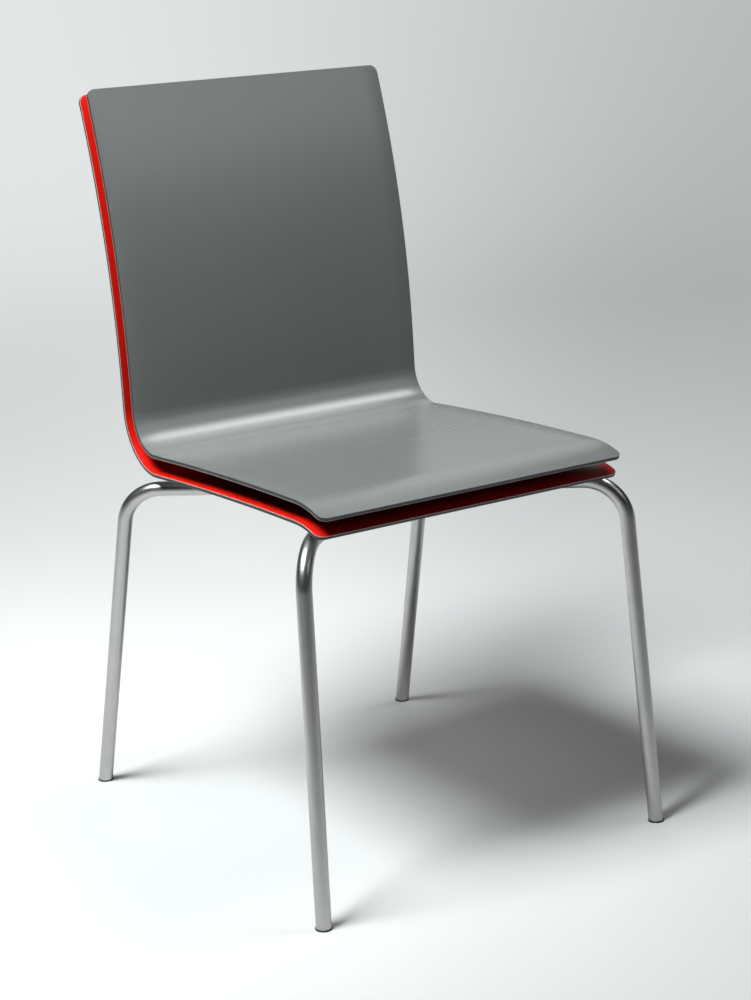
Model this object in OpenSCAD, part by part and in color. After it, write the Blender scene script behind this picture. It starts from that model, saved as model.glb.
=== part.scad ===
// Stacking chair: two thin laminate shells, one nested behind the other with an
// air gap, on a cross frame of four bent steel tubes.
// Millimetres, +Z up, front of the chair towards -Y, left and right as seen
// from the front. The origin is on the floor, midway between the four feet.

/* [Overall] */
// Height of the highest line of the seat above the floor
seat_height = 450; // [370:5:540]
// Width of both shells
shell_width = 395; // [325:1:475]
// Distance from the front feet to the rear feet
foot_depth = 522; // [434:2:628]
// Distance between the two front feet
front_foot_span = 455; // [400:5:540]
// Distance between the two rear feet
rear_foot_span = 446; // [400:2:540]

/* [Shell profile] */
// Distance of the shells' front edge ahead of the origin
shell_front = 246; // [220:2:260]
// Straight length at the front edge, below the rounded front of the seat
lip_length = 10; // [4:1:20]
// Slope of the front edge below level
lip_angle = 20; // [10:1:35]
// Radius of the rounded front of the seat
lip_radius = 125; // [60:5:200]
// Length of the gently crowned seat, front to back
seat_length = 310; // [260:5:375]
// Mean fall of the seat towards the back
seat_slope = 2; // [0:0.5:4]
// Angle that the crowned seat turns through over its length
seat_crown = 3.3; // [1:0.1:6]
// Radius of the bend from seat to back, on the sitting side
bend_radius = 43; // [30:1:70]
// Angle of the foot of the back above level
back_angle = 88.4; // [80:0.2:92]
// Straight length at the foot of the back
back_straight = 25; // [10:1:60]
// Length of the curved back
back_length = 350; // [280:5:420]
// Radius of the curved back
back_radius = 1175; // [800:25:2000]
// Radius of the shells' four corners
corner_radius = 10; // [5:1:30]

/* [Plies] */
// Thickness of the grey outer laminate on each shell
face_ply = 0.8; // [0.5:0.1:1.2]
// Thickness of the black core of each shell
core_ply = 2.4; // [1.6:0.1:4]
// Thickness of the lining laminate on each shell's inner side
lining_ply = 0.8; // [0.5:0.1:1.2]
// Air gap between the two shells
shell_gap = 18.7; // [12:0.1:30]

/* [Tube frame] */
// Outside diameter of the leg tubes
tube_d = 17.2; // [14:0.1:22]
// Wall of the leg tubes
tube_wall = 2; // [1.2:0.1:3]
// Centre-line radius of each tube's bend
tube_bend = 50; // [36:1:70]
// Distance across the frame between the tubes' left and right corners
frame_width = 424; // [360:2:460]
// Distance along the frame between the tubes' front and rear corners
frame_depth = 392; // [340:2:440]
// Distance of the frame's centre ahead of the origin
frame_setback = 33; // [0:1:60]
// Outside diameter of the hub that joins the tubes
hub_d = 44; // [36:1:60]
// Wall of the hub
hub_wall = 4; // [3:0.5:6]
// How far the hub stands above and below the tubes
hub_margin = 1.4; // [1:0.1:6]
// Leg length of the weld round each tube where it meets the hub
weld_leg = 2; // [1:0.25:3]

/* [Feet] */
// How far the flange of each foot cap stands out beyond its tube
cap_rim = 0.8; // [0.4:0.1:6]
// Thickness of the flange of each foot cap
cap_flange = 2; // [1.5:0.25:6]
// Length of the spigot that each cap pushes into its tube
cap_spigot = 22; // [12:1:40]

/* [Fixings] */
// Distance from the hub's centre to each seat fixing, along its tube
fixing_reach = 150; // [90:5:180]
// Height of the saddle pads between the tubes and the rear shell
saddle_height = 12.3; // [8:0.1:20]
// Diameter of the saddle pads
saddle_d = 26; // [22:1:36]
// How far the saddle pads reach down beside their tube, below its top
saddle_wrap = 4; // [2:0.5:6]
// Diameter of the bosses bonded between the shells at the seat
seat_boss_d = 30; // [22:1:40]
// Diameter of the bosses bonded between the shells at the back
back_boss_d = 24; // [20:1:36]
// Distance of each back boss from the middle of the back
back_boss_x = 120; // [60:5:140]
// Distance of the back bosses below the top edge
back_boss_drop = 75; // [40:5:150]
// Thread diameter of the seat screws
seat_screw_d = 6; // [5:1:6]
// Thread diameter of the back screws
back_screw_d = 5; // [4:1:5]
// Length of thread held in each insert
thread_hold = 10; // [6:1:11]
// Thickness of the saddle washers below their tube
washer_t = 2; // [1:0.5:4]

/* [Hidden] */

// Sides of the chair, used as signs on X and Y
LEFT = -1;
RIGHT = 1;
FRONT = -1;
REAR = 1;
SIDES = [LEFT, RIGHT];
ENDS = [FRONT, REAR];

$fn = 64;
flat_error = 0.05;   // how far a flat of the shells may stray from the true curve
slide_fit = 0.05;    // radial clearance of a spigot, an insert or a thread
hole_fit = 0.4;      // radial clearance of a screw in a drilled hole
past = 1;            // how far a cutting solid runs past what it cuts
spare_turn = 5;      // degrees that a bend is swept beyond the plane it is cut to

shell_t = face_ply + core_ply + lining_ply;
tube_r = tube_d / 2;
bore_r = tube_r - tube_wall;
hub_height = tube_d + 2 * hub_margin;

// Depths below the sitting surface at which each shell starts
front_top = 0;
rear_top = shell_t + shell_gap;
rear_bottom = rear_top + shell_t;

// The shells' profile, front edge to top edge: [length, angle turned]
seat_start_angle = seat_crown / 2 - seat_slope;
seat_end_angle = -seat_crown / 2 - seat_slope;
lip_turn = lip_angle - seat_start_angle;
bend_turn = back_angle - seat_end_angle;
back_turn = back_length / back_radius * 180 / PI;
PROFILE = [
    [lip_length, 0],
    [lip_radius * lip_turn * PI / 180, -lip_turn],
    [seat_length, -seat_crown],
    [bend_radius * bend_turn * PI / 180, bend_turn],
    [back_straight, 0],
    [back_length, -back_turn]
];
SEAT_SEGMENTS = 3;

// The front edge sits low enough for the seat's highest line to be at seat_height
lip_rise = lip_length * sin(lip_angle) + lip_radius * (1 - cos(lip_angle));
profile_start = [-shell_front, seat_height - lip_rise, lip_angle];

function sum(v, n, i = 0) = i >= n ? 0 : v[i][0] + sum(v, n, i + 1);
profile_length = sum(PROFILE, len(PROFILE));
seat_reach = sum(PROFILE, SEAT_SEGMENTS);

// Where a stretch that turns evenly ends: [y, z, direction]
function chord(len_, turn) = turn == 0 ? len_ : len_ * sin(turn / 2) / (turn / 2 * PI / 180);
function stretch(from, len_, turn) =
    let (c = chord(len_, turn), a = from[2] + turn / 2)
    [from[0] + c * cos(a), from[1] + c * sin(a), from[2] + turn];

// The profile's point and direction at distance s from the front edge
function at(s, i = 0, from = profile_start) =
    let (seg = PROFILE[i])
    s <= seg[0] || i == len(PROFILE) - 1
        ? stretch(from, s, seg[1] * s / seg[0])
        : at(s - seg[0], i + 1, stretch(from, seg[0], seg[1]));

// Distances along the profile at which its flats meet
function flats(seg) = max(1, ceil(sqrt(seg[0] * abs(seg[1]) * PI / 180 / (8 * flat_error))));
STATIONS = [
    for (i = [0:len(PROFILE) - 1])
        let (n = flats(PROFILE[i]), start = sum(PROFILE, i))
        for (k = [0:n - 1]) start + PROFILE[i][0] * k / n,
    profile_length
];

// A point at the given depth below the sitting surface
function under(p, depth) = [p[0] + depth * sin(p[2]), p[1] - depth * cos(p[2])];
function reversed(v) = [for (i = [len(v) - 1:-1:0]) v[i]];

// The frame lies in a plane that falls to the rear with the seat
frame_gap = tube_r + saddle_height;
SEAT_UNDERSIDE = [for (s = STATIONS) if (s <= seat_reach) under(at(s), rear_bottom)];
frame_y = -frame_setback;
frame_z = lookup(frame_y + frame_gap * sin(seat_slope), SEAT_UNDERSIDE)
    - frame_gap * cos(seat_slope);

// Height above the frame's plane of the surface at a depth, at distance v
// behind the frame's centre
function to_frame(p) =
    let (dy = p[0] - frame_y, dz = p[1] - frame_z)
    [dy * cos(seat_slope) - dz * sin(seat_slope), dy * sin(seat_slope) + dz * cos(seat_slope)];
function height_at(v, depth) =
    lookup(v, [for (s = STATIONS) if (s <= seat_reach) to_frame(under(at(s), depth))]);

// The tubes' corners, feet and seat fixings
run_length = sqrt(frame_width * frame_width + frame_depth * frame_depth) / 2;
run_angle = atan2(frame_depth, frame_width);
fixing_x = fixing_reach * cos(run_angle);
fixing_y = fixing_reach * sin(run_angle);
function foot_span(end) = end == FRONT ? front_foot_span : rear_foot_span;
function foot(side, end) = [side * foot_span(end) / 2, end * foot_depth / 2, 0];
function in_frame(x, y) =
    [x, frame_y + y * cos(seat_slope), frame_z - y * sin(seat_slope)];
function corner(side, end) = in_frame(side * frame_width / 2, end * frame_depth / 2);
function unit(v) = v / norm(v);

// Hardware sizes that follow from the thread diameter
function head_d(thread) = thread * 1.75;
function head_h(thread) = thread * 0.55;
function key_d(thread) = thread * 0.77;
function insert_d(thread) = thread + 2.4;
insert_length = thread_hold + 1;
insert_bore = insert_length + 2 * slide_fit;
back_washer_t = 1;
back_washer_d = 12;
washer_d = 14;
tip_room = 1.5;      // empty bore beyond the tip of each screw

back_fixing = profile_length - back_boss_drop;

GREY = [0.55, 0.57, 0.57];
RED = [0.90, 0.03, 0.02];
BLACK = [0.05, 0.05, 0.05];
STEEL = [0.68, 0.68, 0.67];
BRASS = [0.75, 0.60, 0.30];

// ---- Places ----

// Local Y runs along the profile, local Z points out of the sitting surface
module at_profile(s) {
    p = at(s);
    translate([0, p[0], p[1]]) rotate([p[2], 0, 0]) children();
}

// Local Z points out of the frame's plane, towards the seat
module at_frame() {
    translate([0, frame_y, frame_z]) rotate([-seat_slope, 0, 0]) children();
}

module at_fixing(side, end) {
    at_frame() translate([side * fixing_x, end * fixing_y, 0]) children();
}

module at_each_fixing() {
    for (side = SIDES, end = ENDS) at_fixing(side, end) children();
}

// Local Z points into the rear shell from behind, with 0 on its outer face
module at_back_fixing(side) {
    at_profile(back_fixing) translate([side * back_boss_x, 0, -rear_bottom]) children();
}

// ---- Shells ----

// The full-width stack between two depths below the sitting surface
module layer(top, bottom) {
    upper = [for (s = STATIONS) under(at(s), top)];
    lower = [for (s = STATIONS) under(at(s), bottom)];
    rotate([90, 0, 90])
        linear_extrude(shell_width, center = true)
            polygon(concat(upper, reversed(lower)));
}

// What rounding the four corners takes off
module corner_waste() {
    corner_x = shell_width / 2 - corner_radius;
    for (side = SIDES, end = ENDS) {
        at_profile(end == FRONT ? 0 : profile_length)
            translate([side * corner_x, -end * corner_radius, -rear_bottom - past])
                linear_extrude(rear_bottom + 2 * past)
                    to_quarter(side, end) difference() {
                        square(corner_radius + past);
                        circle(corner_radius);
                    }
    }
}

// Turns a shape drawn in the first quarter over to the given side and end
module to_quarter(side, end) {
    mirror([side == LEFT ? 1 : 0, 0, 0]) mirror([0, end == FRONT ? 1 : 0, 0]) children();
}

module ply(top, thickness) {
    difference() {
        layer(top, top + thickness);
        corner_waste();
    }
}

// Screw holes through the rear shell
module rear_shell_holes() {
    at_each_fixing() cylinder(r = seat_screw_d / 2 + hole_fit, h = frame_gap + rear_bottom);
    for (side = SIDES)
        at_back_fixing(side) translate([0, 0, -past])
            cylinder(r = back_screw_d / 2 + hole_fit, h = shell_t + 2 * past);
}

module rear_ply(top, thickness) {
    difference() {
        ply(top, thickness);
        rear_shell_holes();
    }
}

module front_shell_face() {
    color(GREY) ply(front_top, face_ply);
}

module front_shell_core() {
    color(BLACK) ply(front_top + face_ply, core_ply);
}

module front_shell_lining() {
    color(BLACK) ply(front_top + face_ply + core_ply, lining_ply);
}

module rear_shell_lining() {
    color(RED) rear_ply(rear_top, lining_ply);
}

module rear_shell_core() {
    color(BLACK) rear_ply(rear_top + lining_ply, core_ply);
}

module rear_shell_face() {
    color(GREY) rear_ply(rear_top + lining_ply + core_ply, face_ply);
}

// ---- Tube frame ----

module tube_section() {
    difference() {
        circle(tube_r);
        circle(bore_r);
    }
}

// A tube from the frame's centre to a corner, bent there and run on to its foot
module bent_tube(side, end) {
    bend = corner(side, end);
    inward = unit(in_frame(0, 0) - bend);
    down = unit(foot(side, end) - bend);
    turn = 180 - acos(inward * down);
    lead = tube_bend * tan(turn / 2);
    centre = bend + unit(inward + down) * tube_bend / cos(turn / 2);
    e1 = (bend + inward * lead - centre) / tube_bend;
    e2 = -inward;
    e3 = cross(e1, e2);
    multmatrix([
        [e1[0], e2[0], e3[0], centre[0]],
        [e1[1], e2[1], e3[1], centre[1]],
        [e1[2], e2[2], e3[2], centre[2]],
        [0, 0, 0, 1]
    ]) {
        translate([tube_bend, 0, 0]) rotate([90, 0, 0])
            linear_extrude(run_length - lead) tube_section();
        difference() {
            rotate_extrude(angle = turn + spare_turn) translate([tube_bend, 0]) tube_section();
            rotate([0, 0, turn]) translate([0, 0, -tube_d])
                cube([2 * tube_bend, tube_bend, 2 * tube_d]);
        }
        rotate([0, 0, turn]) translate([tube_bend, 0, 0]) rotate([-90, 0, 0])
            linear_extrude(norm(foot(side, end) - bend) - lead + tube_d) tube_section();
    }
}

// Everything below a level near the floor
module floor_cut(level) {
    translate([0, 0, level - 3 * tube_d]) linear_extrude(3 * tube_d)
        square(2 * foot_depth, center = true);
}

// The tube is cut to the hub, cut level above its cap, and drilled for its screw
module leg_tube(side, end) {
    color(STEEL) difference() {
        bent_tube(side, end);
        at_frame() cylinder(r = hub_d / 2, h = 2 * tube_d, center = true);
        floor_cut(cap_flange);
        at_fixing(side, end)
            cylinder(r = seat_screw_d / 2 + hole_fit, h = 2 * tube_d, center = true);
    }
}

module centre_hub() {
    color(STEEL) at_frame() difference() {
        cylinder(r = hub_d / 2, h = hub_height, center = true);
        cylinder(r = hub_d / 2 - hub_wall, h = hub_height + past, center = true);
    }
}

// Along a tube's run, with local Z pointing away from the hub
module along_run(side, end) {
    at_frame() rotate([0, 90, atan2(end * frame_depth, side * frame_width)]) children();
}

module hub_weld(side, end) {
    difference() {
        intersection() {
            along_run(side, end) cylinder(r = tube_r + weld_leg * 0.75, h = hub_d);
            at_frame() cylinder(r = hub_d / 2 + weld_leg, h = hub_height, center = true);
        }
        along_run(side, end) cylinder(r = tube_r, h = hub_d + past);
        at_frame() cylinder(r = hub_d / 2, h = hub_height + past, center = true);
    }
}

module hub_welds() {
    color(STEEL) for (side = SIDES, end = ENDS) hub_weld(side, end);
}

// ---- Feet ----

// Local Z points up the leg, from its foot
module along_leg(side, end) {
    up = unit(corner(side, end) - foot(side, end));
    translate(foot(side, end)) rotate([0, acos(up[2]), atan2(up[1], up[0])]) children();
}

// The spigot starts inside the flange; both sides are the same moulding, mirrored
module foot_cap(side, end) {
    color(BLACK) mirror([side == RIGHT ? 1 : 0, 0, 0]) {
        translate(foot(LEFT, end)) cylinder(r = tube_r + cap_rim, h = cap_flange);
        difference() {
            along_leg(LEFT, end) rotate([0, 0, 90]) translate([0, 0, -cap_flange])
                cylinder(r = bore_r - slide_fit, h = cap_flange + cap_spigot);
            floor_cut(cap_flange / 2);
        }
    }
}

// ---- Fixings at the seat ----

// The tube's outside along a fixing, to be cut from what sits on it
module run_outside(side, end, length) {
    rotate([0, 90, atan2(end * frame_depth, side * frame_width)])
        cylinder(r = tube_r, h = length, center = true);
}

// A pad cupped over the tube, and cut to the curve of the rear shell
module saddle_pad(side, end) {
    color(BLACK) difference() {
        intersection() {
            at_fixing(side, end) translate([0, 0, tube_r - saddle_wrap])
                cylinder(r = saddle_d / 2, h = saddle_wrap + 2 * saddle_height);
            layer(rear_bottom, rear_bottom + 2 * saddle_height + saddle_wrap);
        }
        at_fixing(side, end) {
            run_outside(side, end, 2 * saddle_d);
            cylinder(r = seat_screw_d / 2 + hole_fit, h = 2 * frame_gap);
        }
    }
}

// A boss that fills the gap between the shells, bored from below for its insert
module seat_boss(side, end) {
    base = height_at(end * fixing_y, rear_top);
    color(BLACK) difference() {
        intersection() {
            at_fixing(side, end) cylinder(r = seat_boss_d / 2, h = base + 2 * shell_gap);
            layer(shell_t, rear_top);
        }
        at_fixing(side, end) {
            cylinder(r = insert_d(seat_screw_d) / 2 + slide_fit, h = base + insert_bore);
            cylinder(r = seat_screw_d / 2, h = base + insert_length + tip_room);
        }
    }
}

// A threaded sleeve with its outer end at local 0
module insert(thread) {
    difference() {
        cylinder(r = insert_d(thread) / 2, h = insert_length);
        translate([0, 0, -past])
            cylinder(r = thread / 2 + slide_fit, h = insert_length + 2 * past);
    }
}

module seat_inserts() {
    color(BRASS) for (side = SIDES, end = ENDS) {
        base = height_at(end * fixing_y, rear_top);
        at_fixing(side, end) translate([0, 0, base + slide_fit]) insert(seat_screw_d);
    }
}

// A button-head screw with a hexagon socket; its shank starts at local 0
module button_screw(thread, length) {
    difference() {
        union() {
            cylinder(r = thread / 2, h = length);
            intersection() {
                translate([0, 0, -head_h(thread)]) cylinder(r = head_d(thread) / 2, h = head_h(thread));
                translate([0, 0, head_d(thread) * 0.25]) sphere(r = head_d(thread) * 0.58);
            }
        }
        translate([0, 0, -head_h(thread) - past])
            cylinder(r = key_d(thread) / 2, h = head_h(thread) * 0.6 + past, $fn = 6);
    }
}

module seat_screws() {
    color(STEEL) for (side = SIDES, end = ENDS) {
        base = height_at(end * fixing_y, rear_top);
        start = tube_r + washer_t;
        at_fixing(side, end) translate([0, 0, -start])
            button_screw(seat_screw_d, start + base + thread_hold);
    }
}

// A washer with a flat under the head and a hollow that fits the tube
module saddle_washers() {
    color(STEEL) for (side = SIDES, end = ENDS) at_fixing(side, end) difference() {
        translate([0, 0, -tube_r - washer_t]) cylinder(r = washer_d / 2, h = washer_t + tube_r / 2);
        run_outside(side, end, 2 * washer_d);
        cylinder(r = seat_screw_d / 2 + hole_fit, h = 4 * tube_r, center = true);
    }
}

// ---- Fixings at the back ----

module back_boss(side) {
    color(BLACK) difference() {
        intersection() {
            at_back_fixing(side) cylinder(r = back_boss_d / 2, h = rear_bottom);
            layer(shell_t, rear_top);
        }
        at_back_fixing(side) {
            cylinder(r = insert_d(back_screw_d) / 2 + slide_fit, h = shell_t + insert_bore);
            cylinder(r = back_screw_d / 2, h = shell_t + insert_length + tip_room);
        }
    }
}

module back_inserts() {
    color(BRASS) for (side = SIDES)
        at_back_fixing(side) translate([0, 0, shell_t + slide_fit]) insert(back_screw_d);
}

module back_screws() {
    color(STEEL) for (side = SIDES)
        at_back_fixing(side) translate([0, 0, -back_washer_t])
            button_screw(back_screw_d, back_washer_t + shell_t + thread_hold);
}

module back_washers() {
    color(BLACK) for (side = SIDES) at_back_fixing(side) difference() {
        translate([0, 0, -back_washer_t]) cylinder(r = back_washer_d / 2, h = back_washer_t);
        translate([0, 0, -back_washer_t - past])
            cylinder(r = back_screw_d / 2 + hole_fit, h = back_washer_t + 2 * past);
    }
}

front_shell_face();
front_shell_core();
front_shell_lining();
rear_shell_lining();
rear_shell_core();
rear_shell_face();
leg_tube(LEFT, FRONT);  // front_left_leg_tube
leg_tube(RIGHT, FRONT);  // front_right_leg_tube
leg_tube(LEFT, REAR);  // rear_left_leg_tube
leg_tube(RIGHT, REAR);  // rear_right_leg_tube
centre_hub();
hub_welds();
foot_cap(LEFT, FRONT);  // front_left_foot_cap
foot_cap(RIGHT, FRONT);  // front_right_foot_cap
foot_cap(LEFT, REAR);  // rear_left_foot_cap
foot_cap(RIGHT, REAR);  // rear_right_foot_cap
saddle_pad(LEFT, FRONT);  // front_left_saddle_pad
saddle_pad(RIGHT, FRONT);  // front_right_saddle_pad
saddle_pad(LEFT, REAR);  // rear_left_saddle_pad
saddle_pad(RIGHT, REAR);  // rear_right_saddle_pad
seat_boss(LEFT, FRONT);  // front_left_seat_boss
seat_boss(RIGHT, FRONT);  // front_right_seat_boss
seat_boss(LEFT, REAR);  // rear_left_seat_boss
seat_boss(RIGHT, REAR);  // rear_right_seat_boss
back_boss(LEFT);  // left_back_boss
back_boss(RIGHT);  // right_back_boss
seat_inserts();
back_inserts();
seat_screws();
saddle_washers();
back_screws();
back_washers();
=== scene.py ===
from math import acos, atan2, cos, pi, radians, sin, sqrt

import bmesh
import bpy
from mathutils import Matrix, Vector


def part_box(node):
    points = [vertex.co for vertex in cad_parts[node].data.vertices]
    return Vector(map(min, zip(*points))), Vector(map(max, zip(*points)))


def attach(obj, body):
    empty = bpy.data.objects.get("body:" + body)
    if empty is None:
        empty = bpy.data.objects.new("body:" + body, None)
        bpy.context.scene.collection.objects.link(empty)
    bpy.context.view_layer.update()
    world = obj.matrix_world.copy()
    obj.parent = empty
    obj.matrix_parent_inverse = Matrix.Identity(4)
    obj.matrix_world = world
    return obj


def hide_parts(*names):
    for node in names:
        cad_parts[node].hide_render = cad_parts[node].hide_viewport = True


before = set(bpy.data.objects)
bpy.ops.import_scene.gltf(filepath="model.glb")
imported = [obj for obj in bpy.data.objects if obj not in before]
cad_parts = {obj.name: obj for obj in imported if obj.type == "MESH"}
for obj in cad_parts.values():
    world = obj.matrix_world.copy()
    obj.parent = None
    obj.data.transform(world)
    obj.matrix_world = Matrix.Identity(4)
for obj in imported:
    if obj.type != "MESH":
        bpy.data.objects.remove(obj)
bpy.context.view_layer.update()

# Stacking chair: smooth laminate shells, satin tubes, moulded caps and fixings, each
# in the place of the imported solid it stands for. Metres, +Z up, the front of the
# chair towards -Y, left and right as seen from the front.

LEFT, RIGHT = -1, 1
FRONT, REAR = -1, 1
SIDE_NAMES = {LEFT: "left", RIGHT: "right"}
END_NAMES = {FRONT: "front", REAR: "rear"}
CORNERS = [(side, end) for end in (FRONT, REAR) for side in (LEFT, RIGHT)]


def corner_name(side, end, piece):
    return f"{END_NAMES[end]}_{SIDE_NAMES[side]}_{piece}"


# ---- Sizes that the frame gives ----

SHELL_WIDTH = 2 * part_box("front_shell_core")[1].x
SHELL_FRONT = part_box("front_shell_face")[0].y
FRAME_CENTRE = (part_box("centre_hub")[0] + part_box("centre_hub")[1]) / 2
HUB_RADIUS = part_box("centre_hub")[1].x

# ---- Sizes of the shells ----

SEAT_HEIGHT = 0.450
LIP_LENGTH = 0.010
LIP_ANGLE = radians(20)
LIP_RADIUS = 0.125
SEAT_LENGTH = 0.310
SEAT_SLOPE = radians(2)
SEAT_CROWN = radians(3.3)
BEND_RADIUS = 0.043
BACK_ANGLE = radians(88.4)
BACK_STRAIGHT = 0.025
BACK_LENGTH = 0.350
BACK_RADIUS = 1.175
CORNER_RADIUS = 0.010
FACE_PLY = 0.0008
CORE_PLY = 0.0024
LINING_PLY = 0.0008
SHELL_GAP = 0.0187
SHELL_THICKNESS = FACE_PLY + CORE_PLY + LINING_PLY
REAR_TOP = SHELL_THICKNESS + SHELL_GAP
REAR_BOTTOM = REAR_TOP + SHELL_THICKNESS
ARRIS = 0.0003

# ---- Sizes of the tube frame and its feet ----

TUBE_RADIUS = 0.0086
TUBE_WALL = 0.002
TUBE_BEND = 0.050
FRAME_WIDTH = 0.424
FRAME_DEPTH = 0.392
FOOT_DEPTH = 0.522
FOOT_SPAN = {FRONT: 0.455, REAR: 0.446}
HUB_WALL = 0.004
HUB_HEIGHT = 0.020
CAP_RIM = 0.0008
CAP_FLANGE = 0.002
CAP_SPIGOT = 0.022

# ---- Sizes of the fixings ----

FIXING_REACH = 0.150
SADDLE_HEIGHT = 0.0123
SADDLE_RADIUS = 0.013
SADDLE_WRAP = 0.004
SEAT_BOSS_RADIUS = 0.015
BACK_BOSS_RADIUS = 0.012
BACK_BOSS_X = 0.120
BACK_BOSS_DROP = 0.075
SEAT_SCREW = 0.006
BACK_SCREW = 0.005
THREAD_HOLD = 0.010
WASHER_RADIUS = 0.007
WASHER_THICKNESS = 0.002
BACK_WASHER_RADIUS = 0.006
BACK_WASHER_THICKNESS = 0.001
HOLE_FIT = 0.0004
SEAT_HOLE = SEAT_SCREW / 2 + HOLE_FIT
BACK_HOLE = BACK_SCREW / 2 + HOLE_FIT

# How far a cutting shape runs past what it cuts
OVERRUN = 0.002
# Edges that turn more than this stay crisp
CRISP_ANGLE = radians(32)

# ---- The shells' profile, from the front edge to the top edge ----

SEAT_START = SEAT_CROWN / 2 - SEAT_SLOPE
SEAT_END = -SEAT_CROWN / 2 - SEAT_SLOPE
LIP_TURN = LIP_ANGLE - SEAT_START
BEND_TURN = BACK_ANGLE - SEAT_END

# Each stretch is (length, angle turned, rows of the mesh)
PROFILE = [
    (LIP_LENGTH, 0, 1),
    (LIP_RADIUS * LIP_TURN, -LIP_TURN, 14),
    (SEAT_LENGTH, -SEAT_CROWN, 40),
    (BEND_RADIUS * BEND_TURN, BEND_TURN, 48),
    (BACK_STRAIGHT, 0, 3),
    (BACK_LENGTH, -BACK_LENGTH / BACK_RADIUS, 46),
]
PROFILE_LENGTH = sum(length for length, turn, rows in PROFILE)
LIP_RISE = LIP_LENGTH * sin(LIP_ANGLE) + LIP_RADIUS * (1 - cos(LIP_ANGLE))
PROFILE_START = (SHELL_FRONT, SEAT_HEIGHT - LIP_RISE, LIP_ANGLE)


def along_stretch(start, length, turn):
    """Where a stretch that turns evenly ends: (y, z, direction)."""
    chord = length if turn == 0 else length * sin(turn / 2) / (turn / 2)
    heading = start[2] + turn / 2
    return (start[0] + chord * cos(heading), start[1] + chord * sin(heading), start[2] + turn)


def profile_at(distance):
    """The sitting surface's (y, z, direction) at a distance from the front edge."""
    point = PROFILE_START
    for length, turn, rows in PROFILE[:-1]:
        if distance <= length:
            return along_stretch(point, distance, turn * distance / length)
        point = along_stretch(point, length, turn)
        distance -= length
    length, turn, rows = PROFILE[-1]
    return along_stretch(point, distance, turn * distance / length)


def profile_matrix(distance):
    """Local Y runs along the profile, local Z points out of the sitting surface."""
    y, z, direction = profile_at(distance)
    return Matrix.Translation((0, y, z)) @ Matrix.Rotation(direction, 4, "X")


# ---- Places on the frame ----

FRAME_MATRIX = Matrix.Translation(FRAME_CENTRE) @ Matrix.Rotation(-SEAT_SLOPE, 4, "X")
RUN_ANGLE = atan2(FRAME_DEPTH, FRAME_WIDTH)
FIXING_X = FIXING_REACH * cos(RUN_ANGLE)
FIXING_Y = FIXING_REACH * sin(RUN_ANGLE)
BACK_FIXING = PROFILE_LENGTH - BACK_BOSS_DROP


def corner_point(side, end):
    return FRAME_MATRIX @ Vector((side * FRAME_WIDTH / 2, end * FRAME_DEPTH / 2, 0))


def foot_point(side, end):
    return Vector((side * FOOT_SPAN[end] / 2, end * FOOT_DEPTH / 2, 0))


def run_matrix(side, end):
    """Local Z runs along a tube's level run, away from the hub's centre."""
    heading = atan2(end * FRAME_DEPTH, side * FRAME_WIDTH)
    return FRAME_MATRIX @ Matrix.Rotation(heading, 4, "Z") @ Matrix.Rotation(pi / 2, 4, "Y")


def fixing_matrix(side, end):
    """Local Z points up out of the frame, local X along the tube, away from the hub."""
    heading = atan2(end * FRAME_DEPTH, side * FRAME_WIDTH)
    place = Matrix.Translation((side * FIXING_X, end * FIXING_Y, 0))
    return FRAME_MATRIX @ place @ Matrix.Rotation(heading, 4, "Z")


def back_fixing_matrix(side):
    """Local Z points into the rear shell from behind, with 0 on its outer face."""
    return profile_matrix(BACK_FIXING) @ Matrix.Translation((side * BACK_BOSS_X, 0, -REAR_BOTTOM))


# ---- Making meshes ----


def object_from(name, data):
    piece = bpy.data.objects.new(name, data)
    bpy.context.scene.collection.objects.link(piece)
    return piece


def object_from_bmesh(name, bm):
    mesh = bpy.data.meshes.new(name)
    bm.to_mesh(mesh)
    bm.free()
    return object_from(name, mesh)


def settled(piece):
    """Turns a piece's modifiers into plain mesh, with smooth faces and crisp edges."""
    bpy.context.view_layer.update()
    graph = bpy.context.evaluated_depsgraph_get()
    mesh = bpy.data.meshes.new_from_object(piece.evaluated_get(graph), depsgraph=graph)
    piece.modifiers.clear()
    piece.data = mesh
    mesh.shade_smooth()
    mesh.set_sharp_from_angle(angle=CRISP_ANGLE)
    return piece


def line_object(name, points):
    """Straight edges from point to point."""
    bm = bmesh.new()
    verts = [bm.verts.new(point) for point in points]
    for first, second in zip(verts, verts[1:]):
        bm.edges.new((first, second))
    return object_from_bmesh(name, bm)


def discard(*helpers):
    for helper in helpers:
        bpy.data.objects.remove(helper)


def cut(piece, helper, operation="DIFFERENCE"):
    modifier = piece.modifiers.new("cut", "BOOLEAN")
    modifier.operation = operation
    modifier.solver = "EXACT"
    modifier.object = helper


def turned(name, outline, segments=64, matrix=None):
    """Turns an outline of (radius, height) round local Z. An outline that starts and
    ends on the axis closes there, and any other closes on itself as a ring."""
    bm = bmesh.new()
    rings = []
    for radius, height in outline:
        if radius == 0:
            rings.append([bm.verts.new((0, 0, height))])
            continue
        angles = [2 * pi * k / segments for k in range(segments)]
        rings.append([bm.verts.new((radius * cos(a), radius * sin(a), height)) for a in angles])
    pairs = list(zip(rings, rings[1:]))
    if outline[0][0] != 0:
        pairs.append((rings[-1], rings[0]))
    for lower, upper in pairs:
        for k in range(segments):
            after = (k + 1) % segments
            corners = [lower[k % len(lower)], lower[after % len(lower)]]
            corners += [upper[after % len(upper)], upper[k % len(upper)]]
            bm.faces.new(list(dict.fromkeys(corners)))
    bmesh.ops.recalc_face_normals(bm, faces=bm.faces)
    if matrix:
        bm.transform(matrix)
    return object_from_bmesh(name, bm)


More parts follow.
